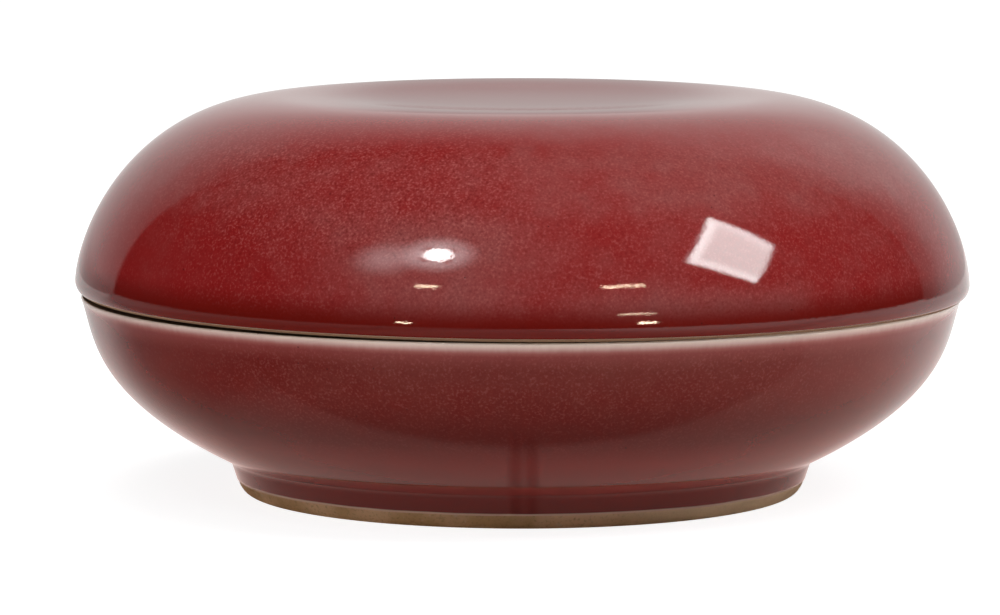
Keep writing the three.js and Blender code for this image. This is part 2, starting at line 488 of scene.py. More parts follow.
def on_outline(value, kind="FLOAT", domain="POINT", place=place_on_outline):
    """A value of the outline, read at a place along it."""
    inputs = {"Geometry": given["Outline"], "Value": value, "Index": place}
    return recipe.node("GeometryNodeSampleIndex", inputs, data_type=kind, domain=domain).outputs[0]


def attribute(name, kind="FLOAT"):
    return recipe.node("GeometryNodeInputNamedAttribute", {"Name": name}, data_type=kind).outputs[0]

# %% The turning tree: round the axis, with the marks of handwork
position = recipe.node("GeometryNodeInputPosition").outputs[0]
outline_point = on_outline(position, "FLOAT_VECTOR")
outward = recipe.joined(X=recipe.maths("COSINE", angle), Y=recipe.maths("SINE", angle))


def around(point):
    """A point of the outline, carried round the axis."""
    parts = recipe.parts(point)
    return recipe.vector("ADD", recipe.scaled(outward, parts["X"]), recipe.joined(Z=parts["Z"]))


def swing(place, size, seed_step):
    """Soft random values between -1 and 1."""
    seed = recipe.plus(given["Seed"], seed_step)
    return recipe.maths("MULTIPLY_ADD", recipe.noise(place, size, 1.0, seed), 2.0, -1.0)


plain_place = around(outline_point)
slide = swing(plain_place, WANDER_SIZE, 0.0)
slide = recipe.times(slide, given["Glaze wander"], on_outline(attribute("wander")))
along_outline = on_outline(attribute("along", "FLOAT_VECTOR"), "FLOAT_VECTOR")
slid = recipe.vector("ADD", outline_point, recipe.scaled(along_outline, slide))
uneven = recipe.times(swing(plain_place, UNEVEN_SIZE, 7.0), given["Unevenness"])
share_out = recipe.maths("DIVIDE", recipe.parts(outline_point)["X"], COVER_RADIUS)
uneven = recipe.scaled(outward, recipe.times(uneven, share_out))
uneven_place = recipe.vector("ADD", around(slid), uneven)
parts = recipe.parts(uneven_place)
from_rim = recipe.apart(parts["Z"], given["Lean height"])
rise = recipe.node("ShaderNodeVectorMath", {0: uneven_place, 1: given["Lean"]}, operation="DOT_PRODUCT")
near_rim = recipe.fade(from_rim, 0.0, given["Lean reach"])
settled = recipe.times(rise.outputs["Value"], near_rim)
settled_place = recipe.vector("ADD", uneven_place, recipe.joined(X=given["Off axis"], Z=settled))

# %% The turning tree: finishes, closing and materials
faces_on_outline = recipe.maths("SUBTRACT", points_on_outline, 1.0)
face_finish = on_outline(
    attribute("finish", "INT"), "INT", "EDGE", recipe.maths("MODULO", index, faces_on_outline)
)


def stored(piece, name, value, kind="FLOAT", domain="POINT"):
    inputs = {"Geometry": piece, "Name": name, "Value": value}
    return recipe.node("GeometryNodeStoreNamedAttribute", inputs, data_type=kind, domain=domain).outputs[0]


piece = stored(grid.outputs[0], "finish", face_finish, "INT", "FACE")
for name in ("from_top", "to_edge"):
    piece = stored(piece, name, on_outline(attribute(name)))
for kind, inputs in (
    ("SetPosition", {"Position": settled_place}),
    ("MergeByDistance", {"Distance": SEAM_WITHIN}),
    ("SetShadeSmooth", {}),
    ("RealizeInstances", {}),
):
    piece = recipe.node(f"GeometryNode{kind}", {"Geometry": piece} | inputs).outputs[0]
for finish, name in ((RED, "Red glaze"), (CLEAR, "Clear glaze"), (BARE, "Bare porcelain")):
    chosen = recipe.node("FunctionNodeCompare", data_type="INT", operation="EQUAL")
    turning.links.new(attribute("finish", "INT"), chosen.inputs[2])
    chosen.inputs[3].default_value = finish
    inputs = {"Geometry": piece, "Selection": chosen.outputs[0], "Material": given[name]}
    piece = recipe.node("GeometryNodeSetMaterial", inputs).outputs[0]
recipe.node("NodeGroupOutput", {0: piece})
print(f"turning tree: {len(turning.nodes)} nodes")

# %% [markdown]
# ## Colours as they are seen
#
# A colour is easiest to note as it looks on a screen, from 0 to 255. Blender calculates with light, so the
# first helper turns such a note into amounts of light. The others start a material and finish it.

# %% Colour notes and surfaces
def shade(red, green, blue):
    light = []
    for value in (red, green, blue):
        share = value / 255.0
        light.append(share / 12.92 if share <= 0.04045 else ((share + 0.055) / 1.055) ** 2.4)
    return (*light, 1.0)


def new_material(name):
    material = bpy.data.materials.new(name)
    material.use_nodes = True
    material.node_tree.nodes.clear()
    return material, Recipe(material.node_tree)


def finished(recipe, surface):
    recipe.node("ShaderNodeOutputMaterial", {"Surface": surface.outputs[0]})


GLASS_IOR = 1.5


def fired(recipe, colour, roughness, relief, depth):
    """A surface as it comes out of the kiln: its colour, how dry it is and its fine relief."""
    bump = recipe.node("ShaderNodeBump", {"Strength": 1.0, "Distance": depth, "Height": relief})
    inputs = {"Base Color": colour, "Roughness": roughness, "IOR": GLASS_IOR, "Normal": bump.outputs[0]}
    finished(recipe, recipe.node("ShaderNodeBsdfPrincipled", inputs))

# %% [markdown]
# ## The copper-red glaze
#
# Copper red comes from tiny grains of copper in the glaze. Where they are many the glaze is a deep clear
# red, and where the glaze boiled in the fire it is clouded grey-pink, in specks of less than a millimetre
# that gather in larger clouds. It runs off the upper rim, so there the white body shows through, and it
# pools above the lower edge, so there it is darker. Its skin is glossy but slightly pebbled, like the peel
# of an orange, with a few pinholes. One function makes it for both pieces; the box came out duller.

# %% Copper-red glaze
RED_ROUGHNESS = 0.04
PEEL_SIZE = 0.6 * MM
GRAIN_SIZE = 0.6 * MM
CLOUD_SIZE = 7.0 * MM
CLOUD_SHARE = 0.45
DRIFT_SIZE = 60.0 * MM
DRIFT_SHARE = 0.5
SPECK_SPACING = 6.0 * MM
SPECK_CORE = 0.15 * MM
SPECK_RADIUS = 0.3 * MM


def specks(recipe, place, spacing, core, radius):
    """1 in small round specks, strewn about this far apart."""
    cells = recipe.node("ShaderNodeTexVoronoi", {"Vector": place, "Scale": 1.0 / spacing})
    away = recipe.times(cells.outputs["Distance"], spacing)
    return recipe.fade(away, core, radius)


def mottled(recipe, place, deep, clouded, drift_of, grain_of, seed):
    """Clear red and clouded red: clouds, a slow drift round the piece, and fine grains."""
    parts = recipe.parts(place)
    grain = recipe.noise(place, GRAIN_SIZE, 2.0, seed + 2.0)
    grain_strength = grain_of(recipe, parts["X"], parts["Z"])
    clouds = recipe.noise(place, CLOUD_SIZE, 3.0, seed)
    drift = recipe.noise(place, DRIFT_SIZE, 1.0, seed + 1.0)
    cloud = recipe.maths("MULTIPLY_ADD", clouds, CLOUD_SHARE, -(CLOUD_SHARE + DRIFT_SHARE) / 2.0)
    cloud = recipe.maths("MULTIPLY_ADD", drift, DRIFT_SHARE, cloud)
    cloud = recipe.plus(cloud, drift_of(recipe, parts["X"], parts["Z"]))
    colour = recipe.blend(recipe.ease(cloud, -0.5, 0.5), deep, clouded)
    light_grain = recipe.times(recipe.ease(grain, 0.5, 0.72, 0.0, 0.9), grain_strength)
    dark_grain = recipe.times(recipe.fade(grain, 0.28, 0.5), grain_strength)
    colour = recipe.blend(light_grain, colour, shade(190, 112, 108))
    return recipe.blend(dark_grain, colour, shade(84, 6, 4))

# %% [markdown]
# The functions below put the glaze together from the top of its run to the bottom: white where it is
# thinnest, then mottled red, then bands of other tones, and the pale line where it stops. On the cover
# the band is glaze pooled darker above the edge; on the box the bands are painted shade round the middle
# of the belly and painted light from the table on the lower belly and the ledge. The pale line is the
# white body under thin glaze, painted paler still as a painted highlight along its ridge. Each band is
# counted up from the lower edge: where it starts, where it is full, its share and its tone.

# %% Copper-red glaze: the whole run
STREAK_SIZE = 1.2 * MM
STREAK_REACH = 0.4 * MM  # how much shorter the streaks make the pale rim, at most
LEFT_REACH = 0.7 * MM  # how much shorter it is at the far left


def pale_rim(recipe, colour, place, from_top, pale_until, red_from, seed):
    """White where the glaze has run off the rim, going over into pink and then into red."""
    drawn_out = recipe.vector("MULTIPLY", place, (1.0, 1.0, 0.15))
    streaks = recipe.noise(drawn_out, STREAK_SIZE, 2.0, seed)
    run = recipe.maths("MULTIPLY_ADD", streaks, STREAK_REACH, from_top)
    run = recipe.plus(run, recipe.fade(recipe.parts(place)["X"], -0.1, 0.0, LEFT_REACH))
    haze = recipe.fade(run, pale_until, 2.6 * red_from, 0.7)
    pink = recipe.fade(run, 1.3 * pale_until, 1.3 * red_from, 0.9)
    white = recipe.fade(run, 0.5 * pale_until, red_from)
    colour = recipe.blend(haze, colour, shade(158, 80, 76))
    colour = recipe.blend(pink, colour, shade(190, 128, 122))
    return recipe.blend(white, colour, shade(244, 224, 210))


def copper_red(name, deep, clouded, drift_of, grain_of, rim, bands, edge_line, peel_height, seed):
    material, recipe = new_material(name)
    place = recipe.place()
    from_top = recipe.node("ShaderNodeAttribute", attribute_name="from_top").outputs["Fac"]
    to_edge = recipe.node("ShaderNodeAttribute", attribute_name="to_edge").outputs["Fac"]
    colour = mottled(recipe, place, deep, clouded, drift_of, grain_of, seed)
    for start, full, share, tone in bands:
        colour = recipe.blend(recipe.fade(to_edge, full, start, share), colour, tone)
    if rim:
        colour = pale_rim(recipe, colour, place, from_top, *rim, seed + 3.0)
    # The pale line where the glaze stops: the white body under thin glaze, painted paler still as a painted
    # highlight along its ridge.
    line = recipe.fade(to_edge, 0.5 * edge_line, edge_line)
    colour = recipe.blend(line, colour, shade(240, 208, 182))
    speck = specks(recipe, place, SPECK_SPACING, SPECK_CORE, SPECK_RADIUS)
    colour = recipe.blend(recipe.times(speck, 0.6), colour, shade(52, 20, 18))
    peel = recipe.noise(place, PEEL_SIZE, 2.0, seed + 4.0)
    fired(recipe, colour, RED_ROUGHNESS, recipe.maths("SUBTRACT", peel, speck), peel_height)
    return material

# %% [markdown]
# The fire did not reach every side alike. The four functions below say how clouded and how grainy each
# piece is towards its right (x) and its top (z), as seen from the front.

# %% Copper-red glaze: cover and box
def cover_drift(recipe, x, z):
    """Clear at the far left, most clouded left of the middle; clearer again on the crest."""
    left = recipe.ease(x, -0.08, -0.03, -0.45, 0.05)
    middle = recipe.ease(x, -0.02, 0.02, 0.0, -0.32)
    right = recipe.ease(x, 0.05, 0.08, 0.0, 0.03)
    bank_sides = recipe.times(recipe.ease(x, 0.0, 0.03), recipe.fade(x, 0.065, 0.08))
    cloud_bank = recipe.times(bank_sides, recipe.fade(z, 0.059, 0.07, 0.35))
    low = recipe.plus(left, middle, right, cloud_bank)
    shoulder = recipe.ease(x, -0.03, 0.04, -0.22, -0.02)
    high = recipe.plus(shoulder, recipe.ease(z, 0.096, 0.102, 0.0, -0.18))
    on_top = recipe.ease(z, 0.078, 0.088)
    return recipe.node("ShaderNodeMix", {0: on_top, 2: low, 3: high}).outputs[0]


def cover_grain(recipe, x, z):
    """Strongest on the left of the shoulder."""
    left = recipe.times(recipe.fade(x, -0.02, 0.01), recipe.ease(z, 0.068, 0.08))
    strength = recipe.maths("MULTIPLY_ADD", left, 0.2, 0.27)
    on_crest = recipe.ease(z, 0.096, 0.103, 1.0, 0.5)
    far_left = recipe.ease(x, -0.1, -0.065, 0.3, 1.0)
    return recipe.times(strength, on_crest, far_left)


def box_drift(recipe, x, z):
    """Clear at both sides."""
    left = recipe.ease(x, -0.085, -0.04, -0.45, -0.15)
    return recipe.plus(left, recipe.ease(x, 0.05, 0.08, 0.0, -0.2))


def box_grain(recipe, x, z):
    """Even, and fainter towards both sides."""
    return recipe.ease(recipe.maths("ABSOLUTE", x), 0.055, 0.1, 0.19, 0.05)


cover_red = copper_red(
    "cover_copper_red", shade(140, 27, 26), shade(147, 92, 89), cover_drift, cover_grain,
    rim=None, bands=[(11.0 * MM, 3.0 * MM, 0.95, shade(104, 16, 8))], edge_line=0.05 * MM,
    peel_height=0.010 * MM, seed=11.0,
)
box_red = copper_red(
    "box_copper_red", shade(110, 24, 19), shade(119, 58, 50), box_drift, box_grain,
    rim=(1.2 * MM, 3.4 * MM),
    bands=[
        # Painted shade round the middle of the belly; painted light from the table on the lower belly,
        # stronger on the ledge; the foot wall back at about the lower belly's tone.
        (54.0 * MM, 38.0 * MM, 0.7, shade(82, 16, 12)),
        (37.0 * MM, 24.0 * MM, 0.85, shade(124, 32, 26)),
        (13.5 * MM, 11.5 * MM, 0.9, shade(168, 64, 56)),
        (7.5 * MM, 6.0 * MM, 0.9, shade(126, 33, 26)),
    ],
    edge_line=0.7 * MM, peel_height=0.005 * MM, seed=23.0,
)
print("copper red:", cover_red.name, box_red.name)

# %% [markdown]
# ## The clear glaze
#
# Inside and under the box the same porcelain wears a clear glaze. It looks white, with a faint grey-green
# tint where the glaze is thick, fine rings left by the turning tool under it and a few specks of ash.

# %% Clear glaze
CLEAR_ROUGHNESS = 0.07
CLEAR_PEEL_HEIGHT = 0.008 * MM
CLEAR_PEEL_SIZE = 1.4 * MM
TINT_SIZE = 30.0 * MM
ASH_SPACING = 7.0 * MM
ASH_CORE = 0.1 * MM
ASH_RADIUS = 0.3 * MM
RINGS = 1500.0  # radians per metre along the wall: a ring every 4 mm


def from_axis(recipe, place):
    return recipe.length(recipe.vector("MULTIPLY", place, (1.0, 1.0, 0.0)))


def clear_glaze(name):
    material, recipe = new_material(name)
    place = recipe.place()
    drift = recipe.noise(place, TINT_SIZE, 2.0, 3.0)
    colour = recipe.blend(recipe.ease(drift, 0.35, 0.65), shade(226, 228, 219), shade(213, 218, 207))
    ash = specks(recipe, place, ASH_SPACING, ASH_CORE, ASH_RADIUS)
    colour = recipe.blend(recipe.times(ash, 0.7), colour, shade(120, 104, 84))
    run = recipe.plus(from_axis(recipe, place), recipe.parts(place)["Z"])
    rings = recipe.maths("SINE", recipe.times(run, RINGS))
    peel = recipe.noise(place, CLEAR_PEEL_SIZE, 2.0, 5.0)
    relief = recipe.maths("MULTIPLY_ADD", rings, 0.35, peel)
    fired(recipe, colour, CLEAR_ROUGHNESS, relief, CLEAR_PEEL_HEIGHT)
    return material


clear = clear_glaze("clear_glaze")
print("clear glaze:", len(clear.node_tree.nodes), "nodes")

# %% [markdown]
# ## Bare fired porcelain
#
# Without glaze the fired body is dry, sandy and ochre, and years of standing and handling leave brown and
# olive stains. It is painted paler towards the right, as painted light from the lamps at that side, and
# darker on the seat and on the bare bead over it, as painted shade in the narrow gap between the two
# pieces. Fine lines run round it from the turning tool, and there are grains of kiln sand.

# %% Bare porcelain
STAIN_SIZE = 16.0 * MM
GRIT_SIZE = 0.8 * MM
GRIT_HEIGHT = 0.08 * MM
PALE_SIZE = 2.2 * MM
LINE_SIZE = 0.5 * MM
SEAT_SHADE_FULL = 1.2 * MM  # how far from the seat its painted shade is full
SEAT_SHADE_SOFT = 1.0 * MM  # how softly the deeper painted shade under the cover gives way at the rim


def bare_porcelain(name):
    material, recipe = new_material(name)
    place = recipe.place()
    stains = recipe.noise(place, STAIN_SIZE, 4.0, 2.0)
    colour = recipe.blend(recipe.ease(stains, 0.38, 0.62), shade(236, 198, 152), shade(206, 168, 116))
    grit = recipe.noise(place, GRIT_SIZE, 3.0, 4.0)
    colour = recipe.blend(recipe.ease(grit, 0.5, 0.75, 0.0, 0.5), colour, shade(152, 122, 80))
    pale = recipe.noise(place, PALE_SIZE, 2.0, 6.0)
    colour = recipe.blend(recipe.ease(pale, 0.62, 0.75, 0.0, 0.5), colour, shade(222, 202, 172))
    parts = recipe.parts(place)
    # Painted light: the bare body is paler towards the right (x), where the lamps at that side fall on it.
    colour = recipe.blend(recipe.ease(parts["X"], 0.01, 0.05, 0.0, 0.7), colour, shade(250, 228, 184))
    # Painted shade on the seat and on the bare bead over it, in the narrow gap between the two pieces;
    # deepest under the cover, inside the rim.
    from_seat = recipe.apart(parts["Z"], seat_height)
    seat_shade_mask = recipe.fade(from_seat, SEAT_SHADE_FULL, 2.0 * SEAT_SHADE_FULL)
    between = recipe.fade(from_axis(recipe, place), RIM_RADIUS - SEAT_SHADE_SOFT, RIM_RADIUS)
    seat_shade_colour = recipe.blend(between, shade(130, 96, 68), shade(104, 78, 56))
    colour = recipe.blend(seat_shade_mask, colour, seat_shade_colour)
    drawn_round = recipe.vector("MULTIPLY", place, (0.06, 0.06, 1.0))
    lines = recipe.noise(drawn_round, LINE_SIZE, 2.0, 8.0)
    relief = recipe.plus(recipe.times(lines, 0.6), grit)
    fired(recipe, colour, recipe.ease(grit, 0.3, 0.7, 0.7, 0.9), relief, GRIT_HEIGHT)
    return material


bare = bare_porcelain("bare_porcelain")
print("bare porcelain:", len(bare.node_tree.nodes), "nodes")

# %% [markdown]
# ## Turning the two pieces
#
# Each outline goes through the turning tree, and the result is read back as a plain mesh: a closed shell of
# faces. Both rims are settled to one side by a fraction of a degree, the cover's more, so the dark line of
# the seat is open at the left and nearly closed at the right, as it is in the photograph.

# %% From outline to piece
def placed(name, data):
    thing = bpy.data.objects.new(name, data)
    scene.collection.objects.link(thing)
    return thing


def turned(name, chain, sizes):
    piece = placed(name, chain)
    modifier = piece.modifiers.new("turned_piece", "NODES")
    modifier.node_group = turning
    for socket in turning.interface.items_tree:
        if socket.name in sizes:
            modifier[socket.identifier] = sizes[socket.name]
    evaluated = piece.evaluated_get(bpy.context.evaluated_depsgraph_get())
    shell = bpy.data.meshes.new_from_object(evaluated)
    piece.modifiers.clear()
    piece.data = shell
    shell.name = name
    open_edges = len(shell.edges) * 2 - sum(len(face.vertices) for face in shell.polygons)
    volume = sum(face.center.dot(face.normal) * face.area for face in shell.polygons) / 3.0
    print(f"{name}: {len(shell.polygons)} faces, {open_edges} open edges, {volume * 1e6:.0f} cm3")
    return piece


STEPS = 256
COVER_LEAN = (-0.0054, 0.0025, 0.0)  # rise per length towards the right and the back
BOX_LEAN = (-0.0004, 0.0, 0.0)
finish_sizes = {"Steps": STEPS, "Unevenness": 0.05 * MM, "Clear glaze": clear, "Bare porcelain": bare}
cover_sizes = {
    "Glaze wander": 0.15 * MM,
    "Seed": 1.0,
    "Lean": COVER_LEAN,
    "Lean height": MOUTH_HEIGHT,
    "Lean reach": 15.0 * MM,
    "Off axis": 0.35 * MM,
    "Red glaze": cover_red,
}
box_sizes = {
    "Glaze wander": 0.3 * MM,
    "Seed": 2.0,
    "Lean": BOX_LEAN,
    "Lean height": seat_height,
    "Lean reach": 25.0 * MM,
    "Off axis": 0.0,
    "Red glaze": box_red,
}
glazed_cover = turned("glazed_cover", cover_chain, finish_sizes | cover_sizes)
glazed_box = turned("glazed_box", box_chain, finish_sizes | box_sizes)

# %% [markdown]
# ## Joining the pieces to the frame
#
# Each piece stands for one solid of the frame and moves with its body: the cover is lifted, the box stays.

# %% Ride on the frame
for piece, node, slot in ((glazed_cover, "cover", "cover_glaze"), (glazed_box, "box", "box_glaze")):
    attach(piece, node)
    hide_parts(node)
print("pieces:", glazed_cover.name, glazed_box.name)

# %% [markdown]
# ## A white table
#
# The pot stands on a white sheet. It glows a little for the camera, and for mirrored and refracted rays, so
# that it comes out white without more light on the pot. Near the pot it glows less, so that the soft shadow
# can be seen.

# %% White table
QUAD = [(0, 1, 2, 3)]


def stage_mesh(name, points, faces=QUAD):
    mesh = bpy.data.meshes.new(name)
    mesh.from_pydata(points, [], faces)
    sheet = placed(name, mesh)
    return sheet


def seen_directly(recipe):
    """1 for rays from the camera and for mirrored and refracted rays, 0 for the light that spreads."""
    rays = recipe.node("ShaderNodeLightPath").outputs
    return recipe.most(rays["Is Camera Ray"], rays["Is Glossy Ray"], rays["Is Transmission Ray"])


SQUARE = ((-1, -1), (1, -1), (1, 1), (-1, 1))
TABLE_HALF = 4.0
PAPER = 0.92  # share of the light that the table gives back
NEAR_GLOW = 0.88
SHADOW_FROM = 0.09  # distance from the axis up to which the glow is least
SHADOW_REACH = 0.28
SHADE_SHARE = 0.4  # how much of that light is added where the table is looked at, over its glow

table = stage_mesh("table", [(x * TABLE_HALF, y * TABLE_HALF, 0.0) for x, y in SQUARE])
material, recipe = new_material("table_paper")
away = recipe.length(recipe.place())
direct = seen_directly(recipe)
glow = recipe.times(direct, recipe.ease(away, SHADOW_FROM, SHADOW_REACH, NEAR_GLOW, 1.0))
white = recipe.ease(direct, 0.0, 1.0, PAPER, SHADE_SHARE)
paper = recipe.node("ShaderNodeBsdfDiffuse", {"Color": white})
light = recipe.node("ShaderNodeEmission", {"Strength": glow})
finished(recipe, recipe.node("ShaderNodeAddShader", {0: paper.outputs[0], 1: light.outputs[0]}))
table.data.materials.append(material)
print("table:", table.name)

# %% [markdown]
# ## What the glaze mirrors
#
# A glossy pot shows the room round it, so the room is part of its finish. Here the room is dark, which
# keeps the red deep. A sheet of grey paper hangs behind the pot and gives the soft sheen along its top and
# sides, and under the belly the glaze shows the table: bright behind the pot and at its right, dim before
# it and at its left, and pink all round, because the red pot colours the white paper that it stands on.
# That mirrored table is a glowing sheet with this light and shade painted on it: painted bounce light from
# the pot, the painted shadow of the pot round the foot and painted shadows of two legs of the camera's
# stand. Only mirrored rays see these sheets, so they add no light.

# %% Sheets that only the glaze sees
def glowing(name, light_of, kind="Object"):
    """A material that glows with a strength and a tint that depend on the place."""
    material, recipe = new_material(name)
    strength, tint = light_of(recipe, *recipe.parts(recipe.place(kind)))
    finished(recipe, recipe.node("ShaderNodeEmission", {"Color": tint, "Strength": strength}))
    return material


def even(strength, tint):
    return lambda recipe, *place: (strength, tint)


def mirrored_sheet(name, material, points, faces=QUAD):
    sheet = stage_mesh(name, points, faces)
    for ray in ("camera", "diffuse", "shadow", "volume_scatter"):
        setattr(sheet, f"visible_{ray}", False)
    sheet.data.materials.append(material)
    return sheet

# %% Dark room and grey paper
NEUTRAL = (1.0, 1.0, 1.0, 1.0)
ROOM_HALF = 3.0
ROOM_DARK = 0.02
PAPER_AWAY = 1.0
PAPER_LEFT = -1.47
PAPER_RIGHT = 1.72
PAPER_TOP = 2.7

room_points = [(x * ROOM_HALF, y * ROOM_HALF, z * ROOM_HALF) for z in (0, 1) for x, y in SQUARE]
room_walls = [(0, 1, 5, 4), (1, 2, 6, 5), (2, 3, 7, 6), (3, 0, 4, 7), (4, 5, 6, 7)]


def paper_light(recipe, x, y, z):
    """Brightest to the right; dim at both sides, near the top, low at the left and close behind the pot."""
    left = recipe.ease(x, -1.5, -0.3, 0.42, 0.67)
    right = recipe.ease(x, 0.8, 1.6, 1.0, 0.3)
    height = recipe.maths("MULTIPLY_ADD", x, -0.4, z)
    level = recipe.times(left, right, recipe.fade(height, 0.5, 2.6))
    to_side = recipe.maths("ABSOLUTE", x)
    middle = recipe.times(recipe.fade(to_side, 0.15, 0.5, 0.13), recipe.fade(z, 0.35, 0.6))
    behind_pot = recipe.times(recipe.fade(to_side, 0.04, 0.11, 0.35), recipe.fade(z, 0.295, 0.315))
    low_left = recipe.times(recipe.fade(x, -0.7, -0.4, 0.26), recipe.fade(z, 0.05, 0.15))
    dim = recipe.plus(behind_pot, low_left)
    share = recipe.maths("SUBTRACT", recipe.plus(middle, 1.0), dim)
    return recipe.times(level, share), (1.0, 0.96, 0.94, 1.0)


paper_corners = [(PAPER_LEFT, 0.0), (PAPER_RIGHT, 0.0), (PAPER_RIGHT, PAPER_TOP), (PAPER_LEFT, PAPER_TOP)]
paper_points = [(x, PAPER_AWAY, z) for x, z in paper_corners]
mirrored_sheet("dark_room", glowing("dark_room", even(ROOM_DARK, NEUTRAL)), room_points, room_walls)
mirrored_sheet("grey_paper", glowing("grey_paper", paper_light), paper_points)
print(f"grey paper {PAPER_RIGHT - PAPER_LEFT:.1f} m wide and {PAPER_TOP:.1f} m high")

# %% Table as it is mirrored
RING_LIFT = 0.2 * MM
RING_HOLE = FOOT_RADIUS + 0.2 * MM
RING_STEPS = 64
RING_RADIUS = 1.4 * ROOM_HALF
FOOT_SHADE = 3.0 * MM  # how far from the foot the painted shadow of the pot dims the mirrored table
STAND_LEG_SHADOWS = (-1.5 * MM, 3.1 * MM)  # shadows of two legs of the camera's stand, painted as dim stripes
LEG_HALF = 0.5 * MM
LEG_SOFT = 3.2 * MM


def table_light(recipe, x, y, z):
    """Painted light and shade on the mirrored table, and its tint: pink before the pot, paler behind."""
    to_left = recipe.most(recipe.maths("SUBTRACT", -0.1, x), 0.0)
    behind = recipe.ease(recipe.maths("MULTIPLY_ADD", to_left, -0.8, y), -0.1, 0.04, 0.22, 0.88)
    before = recipe.ease(y, -0.17, -0.125, 0.5, 0.23)
    before = recipe.plus(before, recipe.ease(y, -0.102, -0.095, 0.0, 0.26))
    before = recipe.times(before, recipe.ease(x, -0.125, -0.085, 0.5, 1.0))
    before = recipe.plus(before, recipe.ease(x, 0.03, 0.2, 0.0, 0.66))
    left = recipe.fade(x, -0.16, -0.125, 0.32)
    far_left = recipe.fade(x, -0.35, -0.2, 0.42)
    level = recipe.most(behind, before, left, far_left)
    away = recipe.length(recipe.joined(X=x, Y=y))
    # Painted shadow of the pot on the table, round the foot.
    level = recipe.times(level, recipe.ease(away, RING_HOLE, RING_HOLE + FOOT_SHADE, 0.6, 1.0))
    # Painted shadows of the camera stand's legs: dim stripes just before the pot.
    near_pot = recipe.times(recipe.ease(y, -0.112, -0.1), recipe.fade(y, -0.06, -0.03, 0.45))
    for leg in STAND_LEG_SHADOWS:
        dim = recipe.times(recipe.fade(recipe.apart(x, leg), LEG_HALF, LEG_SOFT), near_pot)
        level = recipe.times(level, recipe.maths("SUBTRACT", 1.0, dim))
    tint = recipe.blend(recipe.ease(y, -0.05, 0.06), (1.0, 0.62, 0.55, 1.0), (0.97, 0.80, 0.76, 1.0))
    return level, recipe.blend(recipe.ease(away, 0.15, 0.35), tint, (0.9, 0.86, 0.84, 1.0))


ring = []
for radius in (RING_HOLE, RING_RADIUS):
    for step in range(RING_STEPS):
        turn = math.tau * step / RING_STEPS
        ring.append((radius * math.cos(turn), radius * math.sin(turn), RING_LIFT))
ring_faces = []
for step in range(RING_STEPS):
    after = (step + 1) % RING_STEPS
    ring_faces.append((step, RING_STEPS + step, RING_STEPS + after, after))
mirrored_sheet("mirrored_table", glowing("mirrored_table", table_light), ring, ring_faces)
print("mirrored table:", len(ring_faces), "faces round the foot")

# %% [markdown]
# ## Lamps that the glaze mirrors
#
# The glaze shows the shapes of the lamps. A square softbox stands at the right, and its mirrored face is
# the bright window on the cover; its cloth is a little brighter along three sides. A lamp in a wide white
# umbrella stands at the front left: a small hot middle in a dim disc. A few small warm lamps far off in the
# room give the short streaks low on the cover. All of them are glowing sheets that only mirrored rays see,
# so how bright they look and how much light falls on the pot can be chosen apart.

# %% Softbox
SOFTBOX_CORNERS = [
    (0.785, -0.742, 0.839),
    (1.098, -0.597, 0.547),
    (1.026, -0.261, 0.798),
    (0.759, -0.285, 1.096),
]
SOFTBOX_LIGHT = 12.0
COOL = (0.96, 1.0, 0.99, 1.0)


def lamp_sheet(name, material, corners):
    sheet = mirrored_sheet(name, material, corners)
    uv = sheet.data.uv_layers.new(name="sheet")
    uv.data.foreach_set("uv", [0.0, 0.0, 1.0, 0.0, 1.0, 1.0, 0.0, 1.0])
    return sheet


def softbox_light(recipe, across, up, _):
    left = recipe.fade(across, 0.06, 0.2, 0.6)
    low = recipe.fade(up, 0.08, 0.24, 0.45)
    high = recipe.ease(up, 0.82, 0.94, 0.0, 0.2)
    return recipe.times(recipe.plus(recipe.most(left, low, high), 1.0), SOFTBOX_LIGHT), COOL


softbox = lamp_sheet("softbox", glowing("softbox_cloth", softbox_light, "UV"), SOFTBOX_CORNERS)
print(f"softbox {softbox.data.polygons[0].area:.2f} square metres")

# %% Umbrella and small lamps
HOT_MIDDLE = (-0.350, -0.763, 0.828)
HOT_SIZE = 0.14
HOT_GLOWS = [((0.5, 0.5), 0.35, 0.5, 40.0)]  # middle on the map, even up to, fading up to, strength
UMBRELLA_MIDDLE = (-0.550, -0.850, 0.930)
UMBRELLA_SIZE = 0.8
UMBRELLA_GLOWS = [
    ((0.67, 0.58), 0.0, 0.31, 9.0),  # round the hot lamp
    ((0.35, 0.45), 0.0, 0.3, 3.2),  # a faint patch of cloth at its left
]
SMALL_LIGHT = 60.0
WARM = (1.0, 0.80, 0.58, 1.0)


def round_glows(glows, tint):
    def light_of(recipe, across, up, _):
        spot = recipe.joined(X=across, Y=up)
        strengths = []
        for middle, even_to, reach, strength in glows:
            away = recipe.node("ShaderNodeVectorMath", {0: spot, 1: (*middle, 0.0)}, operation="DISTANCE")
            strengths.append(recipe.fade(away.outputs["Value"], even_to, reach, strength))
        return recipe.plus(*strengths), tint

    return light_of


def facing(middle, width, height):
    """The corners of a sheet that faces the pot."""
    middle = Vector(middle)
    back = middle.normalized()
    across = Vector((0.0, 0.0, 1.0)).cross(back).normalized()
    half_across = across * width / 2.0
    half_up = back.cross(across) * height / 2.0
    return [middle + half_up * y + half_across * x for x, y in SQUARE]


